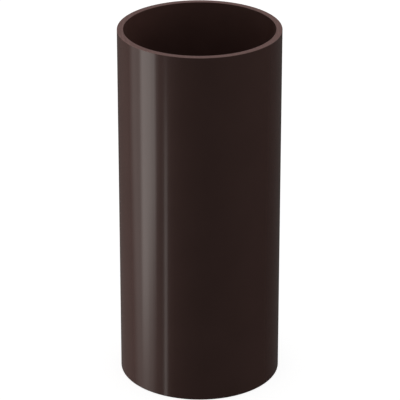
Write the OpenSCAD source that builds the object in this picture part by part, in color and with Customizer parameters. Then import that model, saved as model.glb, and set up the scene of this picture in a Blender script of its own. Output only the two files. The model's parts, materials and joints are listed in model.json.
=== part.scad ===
// Plain length of round rainwater downpipe in brown PVC-U.
// One extruded tube, sawn square at both ends, standing on its lower end.
// Units are millimetres. The origin is on the pipe's axis in the plane of the
// lower end, and +Z runs up the axis.

/* [Section] */
// Outside diameter
outside_d = 110; // [50:1:200]
// Wall thickness
wall = 4.2; // [1.5:0.1:8]

/* [Length] */
// Distance between the two sawn ends
pipe_length = 250; // [60:5:4000]

/* [Sawn ends] */
// Width of the chamfer that takes the saw's burr off each edge
edge_break = 0.3; // [0.1:0.1:0.6]

/* [Hidden] */
$fn = 180;
pvc_brown = "#3F2F2C";

outer_r = outside_d / 2;
bore_r = outer_r - wall;
// The two chamfers of an end leave at least half of the wall flat.
chamfer = min(edge_break, wall / 4);

// Section of the wall in the X-Z half plane: a tall rectangle with its four
// corners broken, from the lower end at z = 0 to the upper end.
module wall_section() {
    polygon([
        [bore_r, chamfer],
        [bore_r + chamfer, 0],
        [outer_r - chamfer, 0],
        [outer_r, chamfer],
        [outer_r, pipe_length - chamfer],
        [outer_r - chamfer, pipe_length],
        [bore_r + chamfer, pipe_length],
        [bore_r, pipe_length - chamfer],
    ]);
}

// The pipe: its wall section turned once round the axis.
module pipe() {
    color(pvc_brown)
        rotate_extrude()
            wall_section();
}

pipe();
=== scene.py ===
"""Looks of a short brown rainwater pipe: extruded skin, bore, sawn ends, and the studio it stands in."""

import json
import math

import bpy
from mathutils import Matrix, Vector


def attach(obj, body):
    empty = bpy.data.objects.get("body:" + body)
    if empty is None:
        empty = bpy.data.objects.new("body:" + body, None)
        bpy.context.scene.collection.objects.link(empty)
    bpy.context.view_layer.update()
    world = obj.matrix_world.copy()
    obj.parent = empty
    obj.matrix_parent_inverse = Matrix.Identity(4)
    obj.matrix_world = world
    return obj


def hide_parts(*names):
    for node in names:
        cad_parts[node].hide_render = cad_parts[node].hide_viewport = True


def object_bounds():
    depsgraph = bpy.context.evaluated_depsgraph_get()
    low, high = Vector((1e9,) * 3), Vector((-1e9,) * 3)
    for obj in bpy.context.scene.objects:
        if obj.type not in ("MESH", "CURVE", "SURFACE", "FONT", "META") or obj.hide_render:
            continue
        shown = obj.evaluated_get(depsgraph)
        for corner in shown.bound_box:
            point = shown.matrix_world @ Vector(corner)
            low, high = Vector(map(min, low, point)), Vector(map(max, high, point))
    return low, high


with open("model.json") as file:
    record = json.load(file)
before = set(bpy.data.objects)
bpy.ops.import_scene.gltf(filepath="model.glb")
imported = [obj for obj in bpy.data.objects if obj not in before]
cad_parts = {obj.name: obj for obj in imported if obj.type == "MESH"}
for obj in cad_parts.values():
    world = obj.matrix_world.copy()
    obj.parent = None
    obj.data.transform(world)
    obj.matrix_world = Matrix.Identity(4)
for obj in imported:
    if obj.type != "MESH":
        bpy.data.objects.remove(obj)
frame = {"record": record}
cad_low, cad_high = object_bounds()

# ---------------------------------------------------------------- sizes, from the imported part

MM = 0.001
mounts = {mount["name"]: mount["dims"] for mount in frame["record"]["mounts"]}
outer_radius = mounts["top_spigot"]["r_mm"] * MM
bore_radius = mounts["bore"]["r_mm"] * MM
wall = outer_radius - bore_radius
pipe_length = cad_high.z - cad_low.z
edge_break = (pipe_length - mounts["bore"]["length_mm"] * MM) / 2
middle = (cad_low + cad_high) / 2

# ---------------------------------------------------------------- node helpers


class Output:
    """One output of a node. A formula of outputs and numbers adds the maths nodes that work it out."""

    def __init__(self, socket):
        self.socket = socket
        self.tree = socket.id_data

    def __add__(self, other):
        return maths("ADD", self, other)

    def __radd__(self, other):
        return maths("ADD", other, self)

    def __sub__(self, other):
        return maths("SUBTRACT", self, other)

    def __rsub__(self, other):
        return maths("SUBTRACT", other, self)

    def __mul__(self, other):
        return maths("MULTIPLY", self, other)

    def __truediv__(self, other):
        return maths("DIVIDE", self, other)

    def __rtruediv__(self, other):
        return maths("DIVIDE", other, self)

    def __mod__(self, other):
        return maths("MODULO", self, other)

    def __pow__(self, other):
        return maths("POWER", self, other)

    def __abs__(self):
        return maths("ABSOLUTE", self)

    def __gt__(self, other):
        return maths("GREATER_THAN", self, other)

    def __lt__(self, other):
        return maths("LESS_THAN", self, other)


def node(tree, kind, feeds=None, **settings):
    """A new node with these settings, returned as its outputs by name.

    feeds gives each input, by name or by number, an output to follow or a value to hold.
    """
    made = tree.nodes.new(kind)
    for name, value in settings.items():
        setattr(made, name, value)
    for name, value in (feeds or {}).items():
        if isinstance(value, Output):
            tree.links.new(value.socket, made.inputs[name])
        else:
            made.inputs[name].default_value = value
    return {socket.name: Output(socket) for socket in made.outputs}


def tree_of(*values):
    """The node tree that these outputs and numbers belong to."""
    return next(value.tree for value in values if isinstance(value, Output))


def maths(operation, *values):
    """The result of one maths node."""
    feeds = dict(enumerate(values))
    return node(tree_of(*values), "ShaderNodeMath", feeds, operation=operation)["Value"]


def spread(value, start, stop, at_start=0.0, at_stop=1.0, kind="LINEAR"):
    """Goes from at_start to at_stop as the value goes from start to stop, and holds still beyond them."""
    feeds = {"Value": value, "From Min": start, "From Max": stop, "To Min": at_start, "To Max": at_stop}
    return node(value.tree, "ShaderNodeMapRange", feeds, interpolation_type=kind)["Result"]


def between(share, at_none, at_full):
    """Goes from at_none to at_full as the share goes from 0 to 1."""
    return spread(share, 0, 1, at_none, at_full)


def passed(value, edge, softness):
    """Rises from 0 to 1 as the value passes the edge, from softness before it to softness beyond it."""
    return spread(value, edge - softness, edge + softness, kind="SMOOTHSTEP")


def evened(noise, reach, at_low=0.0, at_high=1.0):
    """Noise spread over a whole range, because it seldom strays further than its reach from 0.5."""
    return spread(noise, 0.5 - reach, 0.5 + reach, at_low, at_high)


def parts(place):
    """The X, Y and Z of a place or a direction."""
    split = node(place.tree, "ShaderNodeSeparateXYZ", {"Vector": place})
    return split["X"], split["Y"], split["Z"]


def vector(x=0.0, y=0.0, z=0.0):
    """A place or a direction made of its X, Y and Z."""
    return node(tree_of(x, y, z), "ShaderNodeCombineXYZ", {"X": x, "Y": y, "Z": z})["Vector"]


def radius_at(place):
    """How far a place is from the pipe's axis."""
    x, y, _ = parts(place)
    return maths("SQRT", x**2 + y**2)


def shaded(colour, level):
    """A colour made darker at a level under 1, and lighter over it."""
    feeds = {0: colour, "Scale": level}
    return node(colour.tree, "ShaderNodeVectorMath", feeds, operation="SCALE")["Vector"]


def new_group(name, kind, inputs, outputs):
    """A node group, and the outputs of its input node. Each of its sockets is a name and a type."""
    tree = bpy.data.node_groups.new(name, kind)
    for way, sockets in (("INPUT", inputs), ("OUTPUT", outputs)):
        for socket_name, socket_kind in sockets.items():
            tree.interface.new_socket(socket_name, in_out=way, socket_type="NodeSocket" + socket_kind)
    return tree, node(tree, "NodeGroupInput")


# ---------------------------------------------------------------- the saw's marks

BLADE_RADIUS = 150 * MM
SAW_PITCH = 1.2 * MM
SAW_DEPTH = 0.03 * MM


def saw_marks(place, detail):
    """From 0 on a ridge to 1 in a groove. The mesh holds the broad marks, and the finish the fine ones too.

    The blade fed along +X, so each mark is an arc of the blade. Z keeps the two ends' marks apart.
    """
    x, y, z = parts(place)
    travel = x + z + maths("SQRT", BLADE_RADIUS**2 - y**2)
    feeds = {"W": travel, "Scale": 1 / SAW_PITCH, "Detail": detail, "Roughness": 0.7}
    marks = node(place.tree, "ShaderNodeTexNoise", feeds, noise_dimensions="1D")["Fac"]
    return evened(marks, 0.2)


# ---------------------------------------------------------------- the pipe's mesh

PIPE_SIZES = {
    "Outer Radius": outer_radius,
    "Wall": wall,
    "Length": pipe_length,
    "Edge Break": edge_break,
    "Saw Depth": SAW_DEPTH,
    "Facets Around": 720,
    "Facets Per Edge": 4,
    "Rows Along": 24,
    "Rows Across": 10,
}

# The layout for baking lies in four bands across the map: the height of a wall's band and of a sawn end's,
# and each band's foot.
WALL_BAND = 0.42
END_BAND = 0.06
BAND_FOOT = {"outside": 0.0, "bore": 0.43, "upper_end": 0.86, "lower_end": 0.93}


def pick(chosen, if_not, if_so, kind="FLOAT"):
    """One of two values, by a choice made at each place."""
    feeds = {"Switch": chosen, "False": if_not, "True": if_so}
    return node(chosen.tree, "GeometryNodeSwitch", feeds, input_type=kind)["Output"]


def wall_section(tree, size):
    """The wall's closed outline round its own middle: X runs across the wall and Y along the pipe."""
    feeds = {"Width": size["Wall"], "Height": size["Length"]}
    outline = node(tree, "GeometryNodeCurvePrimitiveQuadrilateral", feeds)["Curve"]
    feeds = {"Curve": outline, "Count": size["Facets Per Edge"], "Radius": size["Edge Break"]}
    rounded = node(tree, "GeometryNodeFilletCurve", feeds, mode="POLY")["Curve"]

    # The last point of each corner starts a straight side. The sides are an end and a wall in turn.
    index = node(tree, "GeometryNodeInputIndex")["Index"]
    corner_points = size["Facets Per Edge"] + 1
    starts_side = maths("COMPARE", index % corner_points, size["Facets Per Edge"], 0.5)
    is_wall = maths("FLOOR", index / corner_points) % 2
    rows = pick(is_wall, size["Rows Across"], size["Rows Along"], "INT")
    feeds = {"Curve": rounded, "Cuts": starts_side * (rows - 1)}
    return node(tree, "GeometryNodeSubdivideCurve", feeds)["Curve"]


def crowd_rows(section, size):
    """The walls' rows drawn towards the ends, so that the shading of the edges stays at the edges."""
    x, y, _ = parts(node(section.tree, "GeometryNodeInputPosition")["Position"])
    half = size["Length"] / 2 - size["Edge Break"]
    to_end = 1 - abs(y) / half
    # The cube leaves few rows near the middle.
    height = maths("SIGN", y) * half * (1 - to_end**3)
    feeds = {"Geometry": section, "Selection": to_end > 0, "Position": vector(x, height)}
    return node(section.tree, "GeometryNodeSetPosition", feeds)["Geometry"]


def cut_ends(mesh, size):
    """The saw's marks cut into the ends, dying out down the edges' rounding."""
    position = node(mesh.tree, "GeometryNodeInputPosition")["Position"]
    _, _, z = parts(position)
    half = size["Length"] / 2
    off_middle = z - half
    on_end = spread(abs(off_middle), half - size["Edge Break"], half)
    depth = saw_marks(position, 0.0) * on_end * size["Saw Depth"]
    inwards = vector(z=maths("SIGN", off_middle) * depth * -1)
    return node(mesh.tree, "GeometryNodeSetPosition", {"Geometry": mesh, "Offset": inwards})["Geometry"]


def on_face(place):
    """A vector as it is at the middle of the face."""
    settings = {"domain": "FACE", "data_type": "FLOAT_VECTOR"}
    return node(place.tree, "GeometryNodeFieldOnDomain", {"Value": place}, **settings)["Value"]


def turn_at(place):
    """How far round the pipe a place is, as a share of a turn."""
    x, y, _ = parts(place)
    return maths("ARCTAN2", y, x) / math.tau


def lay_flat(mesh, size, is_sawn, in_bore):
    """The unrolled layout that the finish is baked on: outside, bore, upper end and lower end, in bands."""
    place = node(mesh.tree, "GeometryNodeInputPosition")["Position"]
    face = on_face(place)
    # Each corner lies within half a turn of its face's middle, so that no face spans the seam.
    off_middle = turn_at(place) - turn_at(face)
    across = turn_at(face) + maths("FRACT", off_middle + 0.5)

    _, _, z = parts(place)
    _, _, face_z = parts(face)
    along_wall = z / size["Length"]
    wall_foot = pick(in_bore, BAND_FOOT["outside"], BAND_FOOT["bore"])
    across_end = (size["Outer Radius"] - radius_at(place)) / size["Wall"]
    end_foot = pick(face_z > size["Length"] / 2, BAND_FOOT["lower_end"], BAND_FOOT["upper_end"])
    up = pick(is_sawn, wall_foot + along_wall * WALL_BAND, end_foot + across_end * END_BAND)

    feeds = {"Geometry": mesh, "Name": "OFBake", "Value": vector(across, up)}
    stored = node(mesh.tree, "GeometryNodeStoreNamedAttribute", feeds, data_type="FLOAT2", domain="CORNER")
    return stored["Geometry"]


def pipe_tree(skin, bore, sawn):
    """The pipe as its wall's section swept once round the axis, standing on its lower end."""
    inputs = {name: "Int" if isinstance(value, int) else "Float" for name, value in PIPE_SIZES.items()}
    tree, size = new_group("extruded_pipe", "GeometryNodeTree", inputs, {"Geometry": "Geometry"})
    section = crowd_rows(wall_section(tree, size), size)
    middle_radius = size["Outer Radius"] - size["Wall"] / 2
    feeds = {"Resolution": size["Facets Around"], "Radius": middle_radius}
    circle = node(tree, "GeometryNodeCurvePrimitiveCircle", feeds)["Curve"]
    swept = node(tree, "GeometryNodeCurveToMesh", {"Curve": circle, "Profile Curve": section})["Mesh"]
    feeds = {"Geometry": swept, "Translation": vector(z=size["Length"] / 2)}
    stood = node(tree, "GeometryNodeTransform", feeds)["Geometry"]
    cut = cut_ends(stood, size)

    # A face is sawn where it looks up or down, and in the bore where it is nearer the axis than mid wall.
    _, _, facing_up = parts(on_face(node(tree, "GeometryNodeInputNormal")["Normal"]))
    face = on_face(node(tree, "GeometryNodeInputPosition")["Position"])
    is_sawn = abs(facing_up) > 0.5
    in_bore = radius_at(face) < middle_radius

    laid = lay_flat(cut, size, is_sawn, in_bore)
    result = node(tree, "GeometryNodeRealizeInstances", {"Geometry": laid})["Geometry"]
    for chosen, material in ((True, skin), (in_bore, bore), (is_sawn, sawn)):
        feeds = {"Geometry": result, "Selection": chosen, "Material": material}
        result = node(tree, "GeometryNodeSetMaterial", feeds)["Geometry"]
    node(tree, "NodeGroupOutput", {"Geometry": result})
    return tree


def grown(name, tree, values):
    """A plain mesh object made by a Geometry Nodes tree, with its inputs set by their identifiers."""
    seed = bpy.data.objects.new(name + "_seed", bpy.data.meshes.new(name + "_seed"))
    bpy.context.scene.collection.objects.link(seed)
    modifier = seed.modifiers.new("grow", "NODES")
    modifier.node_group = tree
    for item in tree.interface.items_tree:
        if item.in_out == "INPUT":
            modifier[item.identifier] = values[item.name]
    grown_seed = seed.evaluated_get(bpy.context.evaluated_depsgraph_get())
    mesh = bpy.data.meshes.new_from_object(grown_seed)
    mesh.name = name
    bpy.data.objects.remove(seed)
    piece = bpy.data.objects.new(name, mesh)
    bpy.context.scene.collection.objects.link(piece)
    mesh.shade_smooth()
    return piece


# ---------------------------------------------------------------- effects shared by the finishes

# How many times as long as wide a line from the die is, and how many lines wide a streak in the gloss is.
LINE_LENGTH = 250
STREAK_WIDTH = 6.67


def mottling_group():
    """A colour made a little lighter and darker in clouds, as pigment mixes unevenly."""
    inputs = {"Place": "Vector", "Colour": "Color", "Size": "Float", "Amount": "Float"}
    tree, given = new_group("mottling", "ShaderNodeTree", inputs, {"Colour": "Color"})
    feeds = {"Vector": given["Place"], "Scale": 1 / given["Size"], "Detail": 4.0}
    clouds = node(tree, "ShaderNodeTexNoise", feeds)["Fac"]
    level = evened(clouds, 0.25, 1 - given["Amount"], 1 + given["Amount"])
    node(tree, "NodeGroupOutput", {"Colour": shaded(given["Colour"], level)})
    return tree


def drawn_noise(place, width, length, detail):
    """Noise drawn out along the pipe, in lines of this width and length."""
    x, y, z = parts(place)
    feeds = {"Vector": vector(x / width, y / width, z / length), "Scale": 1.0, "Detail": detail}
    return node(place.tree, "ShaderNodeTexNoise", feeds)["Fac"]


def drawn_lines_group():
    """Fine lines along the pipe, as the die leaves them: a height for relief, and streaks for the gloss."""
    inputs = {"Place": "Vector", "Pitch": "Float"}
    outputs = {"Height": "Float", "Streak": "Float"}
    tree, given = new_group("drawn_lines", "ShaderNodeTree", inputs, outputs)
    pitch = given["Pitch"]
    length = pitch * LINE_LENGTH
    lines = drawn_noise(given["Place"], pitch, length, 3.0)
    streaks = drawn_noise(given["Place"], pitch * STREAK_WIDTH, length, 2.0)
    node(tree, "NodeGroupOutput", {"Height": lines, "Streak": evened(streaks, 0.2)})
    return tree


mottling = mottling_group()
drawn_lines = drawn_lines_group()

# ---------------------------------------------------------------- the pipe's finishes

SKIN_BROWN = (0.050, 0.0285, 0.0250, 1.0)
# The bore's brown is darker than the skin's: painted shade down the bore.
BORE_BROWN_WITH_PAINTED_SHADE = (0.050, 0.0240, 0.0200, 1.0)
SAWN_BROWN = (0.140, 0.0790, 0.0720, 1.0)


def new_material(name):
    """An empty node material, its tree and the coordinates of the piece that wears it."""
    material = bpy.data.materials.new(name)
    material.use_nodes = True
    tree = material.node_tree
    tree.nodes.clear()
    return material, tree, node(tree, "ShaderNodeTexCoord")["Object"]


def mottled(place, colour, cloud_size, amount):
    """A finish's own brown, mottled by the shared group."""
    feeds = {"Place": place, "Colour": colour, "Size": cloud_size, "Amount": amount}
    return node(place.tree, "ShaderNodeGroup", feeds, node_tree=mottling)["Colour"]


def show_plastic(tree, feeds):
    """The material's surface: a shader with these feeds."""
    plastic = node(tree, "ShaderNodeBsdfPrincipled", feeds)["BSDF"]
    node(tree, "ShaderNodeOutputMaterial", {"Surface": plastic})


def extruded(name, colour, cloud_size, cloud_amount, line_pitch, line_depth, roughness):
    """Plastic as the die drew it: faint clouds in its colour, and lines in its relief and its gloss."""
    material, tree, place = new_material(name)
    lines = node(tree, "ShaderNodeGroup", {"Place": place, "Pitch": line_pitch}, node_tree=drawn_lines)
    relief = node(tree, "ShaderNodeBump", {"Height": lines["Height"], "Distance": line_depth})
    feeds = {
        "Base Color": mottled(place, colour, cloud_size, cloud_amount),
        "Roughness": between(lines["Streak"], *roughness),
        "Normal": relief["Normal"],
    }
    show_plastic(tree, feeds)
    return material


def extruded_skin():
    """The outside: semi-gloss, because it cooled in water."""
    return extruded(
        "extruded_skin", SKIN_BROWN, cloud_size=30 * MM, cloud_amount=0.05,
        line_pitch=2.0 * MM, line_depth=0.025 * MM, roughness=(0.12, 0.15),
    )


def bore_skin():
    """The inside: duller than the outside, because it cooled in air, and its brown darker, as painted
    shade.
    """
    return extruded(
        "bore_skin", BORE_BROWN_WITH_PAINTED_SHADE, cloud_size=18 * MM, cloud_amount=0.08,
        line_pitch=3.0 * MM, line_depth=0.02 * MM, roughness=(0.32, 0.38),
    )


def sawn_end():
    """The cut face: paler and matt, and darker and duller in the saw's marks."""
    material, tree, place = new_material("sawn_end")
    marks = saw_marks(place, 3.0)
    colour = mottled(place, SAWN_BROWN, cloud_size=1.5 * MM, amount=0.08)
    feeds = {
        "Base Color": shaded(colour, between(marks, 1.08, 0.90)),
        "Roughness": between(marks, 0.66, 0.78),
        "Specular IOR Level": 0.3,
    }
    show_plastic(tree, feeds)
    return material


# ---------------------------------------------------------------- the pipe

pipe = grown("pipe_wall", pipe_tree(extruded_skin(), bore_skin(), sawn_end()), PIPE_SIZES)
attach(pipe, "root")
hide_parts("pipe")

# ---------------------------------------------------------------- the studio

FLOOR_SIZE = 12.0
FLOOR_GREY = (0.5, 0.5, 0.5, 1.0)
# How much the floor glows for the camera: around the pipe, and down in its bore, where the lower glow is
# painted shade.
FLOOR_GLOW = 0.82
PAINTED_SHADE_BORE_FLOOR_GLOW = 0.18

WHITE = (1.0, 1.0, 1.0, 1.0)
WARM_WHITE = (1.0, 0.94, 0.90, 1.0)
# The sky that lights matt surfaces: its strength at the horizon and overhead.
HORIZON = 0.64
ZENITH = 0.40
# What the gloss sees beside the light panels: the strength of the ceiling and of the wall behind the pipe.
CEILING = 0.3
BACK_WALL = 0.065

# The light panels that the gloss shows, far off, as angles in degrees and a strength. Azimuth 0 is the
# camera's side and 90 is +X. For each degree below its knee, a panel leans and tapers by so many degrees.
PANELS = {
    "softbox": {
        "Centre": -81.5, "Half Width": 9, "Softness": 2.5, "Bottom": -27.2, "Top": 50, "Fade": 1,
        "Knee": -24, "Lean": -1, "Taper": 1, "Strength": 1.55,
    },
    "softbox_shoulder": {
        "Centre": -68.5, "Half Width": 4, "Softness": 2.5, "Bottom": -25.9, "Top": 50, "Fade": 1,
        "Knee": -24, "Lean": -2, "Strength": 1.33,
    },
    "softbox_wing": {
        "Centre": -87, "Half Width": 23.5, "Softness": 6, "Bottom": -29, "Top": 50, "Fade": 4,
        "Knee": -23, "Taper": 1.3, "Strength": 0.62,
    },
    "thin_strip": {
        "Centre": -47.8, "Half Width": 2.4, "Softness": 0.8, "Bottom": -40, "Top": -22.5, "Fade": 0.4,
        "Knee": -22, "Lean": -0.45, "Strength": 1.27,
    },
    "front_wash": {
        "Centre": -62, "Half Width": 24, "Softness": 20, "Bottom": -40, "Top": 50, "Fade": 5,
        "Knee": -22, "Lean": -1, "Taper": 1, "Strength": 0.12,
    },
    "side_glow": {
        "Centre": -114, "Half Width": 20, "Softness": 14, "Bottom": -60, "Top": 50, "Fade": 3,
        "Strength": 0.06,
    },
    "low_back_glow": {
        "Centre": -158, "Half Width": 20, "Softness": 10, "Bottom": -60, "Top": -24.5, "Fade": 2,
        "Strength": 0.035,
    },
    "right_softbox": {
        "Centre": 122, "Half Width": 14, "Softness": 5, "Bottom": -16, "Top": 45, "Fade": 2,
        "Strength": 0.8,
    },
}


def bearing(azimuth, elevation):
    """The unit vector towards a place round the pipe: azimuth 0 is the camera's side and 90 is +X."""
    turn, rise = math.radians(azimuth), math.radians(elevation)
    return Vector((math.sin(turn) * math.cos(rise), -math.cos(turn) * math.cos(rise), math.sin(rise)))


def aimed(rig, azimuth, elevation, distance):
    """Sets a camera or a lamp round the pipe, looking at its middle, and adds it to the scene."""
    towards = bearing(azimuth, elevation)
    rig.location = middle + towards * distance
    rig.rotation_euler = towards.to_track_quat("Z", "Y").to_euler()
    bpy.context.scene.collection.objects.link(rig)
    return rig


def in_view(tree):
    """1 for what the camera sees, straight or through glass, and 0 for what sends light to the pipe."""
    path = node(tree, "ShaderNodeLightPath")
    return maths("MAXIMUM", path["Is Camera Ray"], path["Is Transmission Ray"])


def floor_material():
    """Pale floor: white to the camera but for the pipe's soft shadow, and grey to the pipe.

    Inside the pipe it glows less: painted shade, as on a floor at the foot of a deep bore.
    """
    material, tree, place = new_material("studio_floor")
    # Inside the pipe's foot the floor's lower glow is painted shade.
    floor_glow_with_painted_shade = between(radius_at(place) > outer_radius, PAINTED_SHADE_BORE_FLOOR_GLOW, FLOOR_GLOW)
    matt = node(tree, "ShaderNodeBsdfDiffuse", {"Color": FLOOR_GREY})["BSDF"]
    light = node(tree, "ShaderNodeEmission", {"Strength": in_view(tree) * floor_glow_with_painted_shade})["Emission"]
    both = node(tree, "ShaderNodeAddShader", {0: matt, 1: light})["Shader"]
    node(tree, "ShaderNodeOutputMaterial", {"Surface": both})
    return material


def make_floor():
    """The floor that the pipe stands on. The gloss looks through it, at the panels that reach below it."""
    half = FLOOR_SIZE / 2
    mesh = bpy.data.meshes.new("floor")
    corners = [(x, y, cad_low.z) for x, y in ((-half, -half), (half, -half), (half, half), (-half, half))]
    mesh.from_pydata(corners, [], [(0, 1, 2, 3)])
    mesh.materials.append(floor_material())
    floor = bpy.data.objects.new("floor", mesh)
    bpy.context.scene.collection.objects.link(floor)
    floor.visible_glossy = False


def light_panel_group():
    """How bright one soft-edged upright light panel is in a direction, with all its angles in degrees."""
    names = (
        "Azimuth", "Elevation", "Centre", "Half Width", "Softness", "Bottom", "Top", "Fade",
        "Knee", "Lean", "Taper", "Strength",
    )
    inputs = dict.fromkeys(names, "Float")
    tree, given = new_group("light_panel", "ShaderNodeTree", inputs, {"Light": "Float"})
    elevation = given["Elevation"]
    below_knee = maths("MAXIMUM", given["Knee"] - elevation, 0)
    off_centre = abs(given["Azimuth"] - (given["Centre"] + given["Lean"] * below_knee))
    half_width = given["Half Width"] - given["Taper"] * below_knee
    past_side = passed(off_centre, half_width, given["Softness"])
    above_foot = passed(elevation, given["Bottom"], given["Fade"])
    past_head = passed(elevation, given["Top"], given["Fade"])
    light = (1 - past_side) * above_foot * (1 - past_head) * given["Strength"]
    node(tree, "NodeGroupOutput", {"Light": light})
    return tree


def background(tree, colour, strength):
    """The world's light, of one colour."""
    return node(tree, "ShaderNodeBackground", {"Color": colour, "Strength": strength})["Background"]


def mixed(share, none, full):
    """A mix of two shaders."""
    return node(share.tree, "ShaderNodeMixShader", {0: share, 1: none, 2: full})["Shader"]


def make_world():
    """The room: white to the camera, an even sky to matt surfaces, and dark with light panels to gloss."""
    world = bpy.data.worlds.new("studio")
    bpy.context.scene.world = world
    world.use_nodes = True
    # No light ray is aimed at the world's bright places, because each kind of ray sees a world of its own.
    world.cycles.sampling_method = "NONE"
    tree = world.node_tree
    tree.nodes.clear()
    x, y, z = parts(node(tree, "ShaderNodeTexCoord")["Generated"])
    azimuth = maths("DEGREES", maths("ARCTAN2", x, y * -1))
    elevation = maths("DEGREES", maths("ARCSINE", z))

    # The ceiling brightens from 5 to 30 degrees up, and the back wall towards its middle.
    ceiling = spread(elevation, 5, 30, 0.0, CEILING, "SMOOTHSTEP")
    back_wall = spread(y, 0.2, 0.85, 0.0, BACK_WALL, "SMOOTHSTEP")
    mirrored = ceiling + back_wall
    light_panel = light_panel_group()
    for name, panel in PANELS.items():
        feeds = {"Azimuth": azimuth, "Elevation": elevation, **panel}
        mirrored += node(tree, "ShaderNodeGroup", feeds, node_tree=light_panel, label=name)["Light"]
    sky = (z > 0) * between(z, HORIZON, ZENITH)

    is_gloss = node(tree, "ShaderNodeLightPath")["Is Glossy Ray"]
    room = mixed(is_gloss, background(tree, WHITE, sky), background(tree, WARM_WHITE, mirrored))
    seen = mixed(in_view(tree), room, background(tree, WHITE, 1.0))
    node(tree, "ShaderNodeOutputWorld", {"Surface": seen})


def make_camera():
    """A long lens from far off, a little above the pipe."""
    camera = bpy.data.objects.new("camera", bpy.data.cameras.new("camera"))
    camera.data.lens = 230.4
    camera.data.sensor_width = 36.0
    camera.data.shift_x = 0.0008
    bpy.context.scene.camera = aimed(camera, azimuth=0, elevation=24.3, distance=31.8 * outer_radius)


def lamp(name, azimuth, elevation, width, height, brightness, in_gloss=False):
    """A rectangular lamp that faces the pipe. At brightness 1 its face is white, whatever its size."""
    light = bpy.data.lights.new(name, "AREA")
    light.shape = "RECTANGLE"
    light.size = width
    light.size_y = height
    light.energy = math.pi * width * height * brightness
    rig = bpy.data.objects.new(name, light)
    rig.visible_camera = False
    rig.visible_glossy = in_gloss
    return aimed(rig, azimuth, elevation, distance=1.2)


def make_lamps():
    """Three lamps that light the pipe alone, so that the floor has only the room's even light."""
    lit = bpy.data.collections.new("lit_by_the_lamps")
    lit.objects.link(pipe)
    lamps = (
        lamp("overhead", azimuth=0, elevation=88, width=1.2, height=1.2, brightness=1.02, in_gloss=True),
        lamp("key", azimuth=-99, elevation=0, width=0.9, height=0.22, brightness=28),
        lamp("fill", azimuth=98, elevation=25, width=0.8, height=0.5, brightness=2.8),
    )
    for rig in lamps:
        rig.light_linking.receiver_collection = lit


make_floor()
make_world()
make_camera()
make_lamps()
bpy.context.scene.view_settings.view_transform = "Standard"
